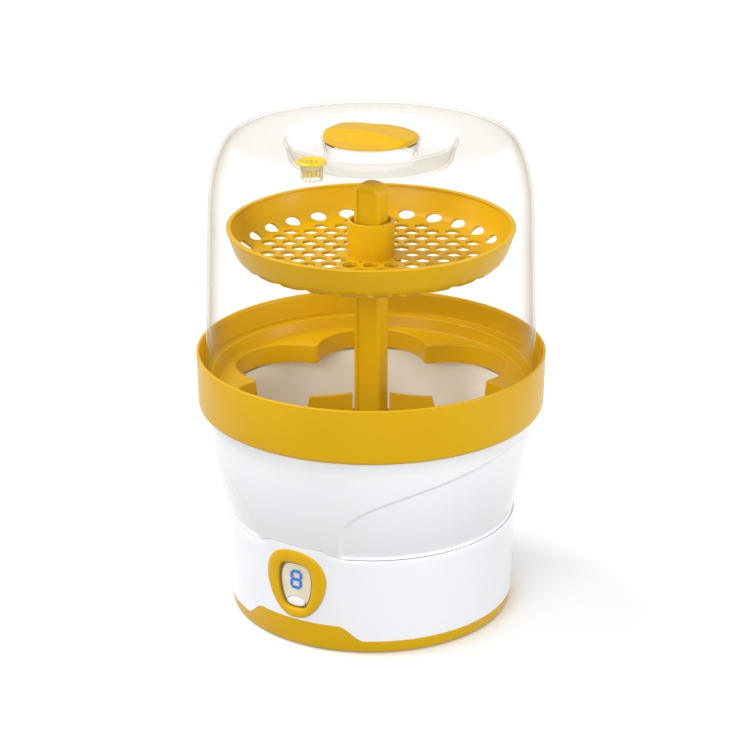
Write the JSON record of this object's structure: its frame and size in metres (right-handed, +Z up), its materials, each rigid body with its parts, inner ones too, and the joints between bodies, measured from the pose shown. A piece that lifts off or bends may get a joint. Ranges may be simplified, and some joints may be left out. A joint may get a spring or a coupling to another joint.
{
  "type": "bottle sterilizer",
  "caption": "Electric steam bottle sterilizer: round heated base with display, lift-out bottle rack, centre post with accessory tray, and clear domed cover with grip and steam vent.",
  "frame": {"origin": "centre of the underside, on the worktop plane under the rubber feet", "axes": "+Z up along the round casing's axis; the display faces -Y; +X to the right when facing the display"},
  "size_m": [0.2366, 0.2366, 0.3366],
  "materials": {
    "clear_dome": "clear, polished",
    "yellow_plastic": "moulded, satin gloss",
    "vent_yellow": "moulded, gloss",
    "sieve_clear": "translucent",
    "white_plastic": "moulded, satin gloss",
    "cream_plastic": "moulded, matt",
    "window_panel": "printed panel, gloss",
    "blue_digit": "lit segments",
    "button_plastic": "translucent, gloss",
    "steel_plate": "stainless, brushed",
    "zinc_steel": "zinc-plated",
    "element_metal": "dull sheath",
    "black_plastic": "moulded, matt",
    "rubber": "matt",
    "silicone": "translucent, matt",
    "board_green": "solder mask",
    "relay_blue": "moulded",
    "coil_tape": "wound and taped",
    "terminal_green": "moulded",
    "ceramic": "ceramic sleeve",
    "copper_tip": "plated copper"
  },
  "bodies": {
    "base": {"upper_shell": "white_plastic", "lower_shell": "white_plastic", "water_tank": "cream_plastic", "plate_seal": "silicone", "heating_plate": "steel_plate", "plate_clamp": "zinc_steel", "clamp_screws": "zinc_steel", "heating_element": "element_metal", "sensor_bracket": "zinc_steel", "bracket_nuts": "zinc_steel", "thermostat": "black_plastic", "temperature_sensor": "copper_tip", "thermal_fuse": "ceramic", "heat_shield": "zinc_steel", "bottom_cover": "yellow_plastic", "rubber_feet": "rubber", "case_screws": "zinc_steel", "body_screws": "zinc_steel", "control_board": "board_green", "relay": "relay_blue", "transformer": "coil_tape", "capacitor": "black_plastic", "terminal_block": "terminal_green", "board_screws": "zinc_steel", "display_board": "board_green", "display_screws": "zinc_steel", "digit_display": "button_plastic", "digit_segments": "blue_digit", "display_window": "window_panel", "display_bezel": "yellow_plastic", "button_switch": "black_plastic", "cord_gland": "rubber"},
    "rack": {"bottle_rack": "yellow_plastic"},
    "dome": {"dome_cover": "clear_dome", "lid_grip": "yellow_plastic", "grip_screw": "zinc_steel", "steam_vent": "vent_yellow", "vent_sieve": "sieve_clear"},
    "stand": {"centre_post": "yellow_plastic", "stand_foot": "yellow_plastic"},
    "tray": {"accessory_tray": "yellow_plastic"},
    "button": {"start_button": "button_plastic"}
  },
  "joints": [
    {"name": "rack_lift", "type": "slide", "parent": "base", "child": "rack", "axis": [0, 0, 1], "range_m": [0, 0.08]},
    {"name": "dome_lift", "type": "slide", "parent": "rack", "child": "dome", "axis": [0, 0, 1], "range_m": [0, 0.3]},
    {"name": "stand_lift", "type": "slide", "parent": "rack", "child": "stand", "axis": [0, 0, 1], "range_m": [0, 0.105]},
    {"name": "tray_lift", "type": "slide", "parent": "stand", "child": "tray", "axis": [0, 0, 1], "range_m": [0, 0.06]},
    {"name": "button_press", "type": "slide", "parent": "base", "child": "button", "axis": [0, 1, 0], "range_m": [0, 0.001], "stiffness_N_per_m": 400, "springref_m": -0.002}
  ],
  "couplings": [
    {"joint": "stand_lift", "follows": "dome_lift", "ratio": 0.35},
    {"joint": "tray_lift", "follows": "dome_lift", "ratio": 0.2}
  ]
}
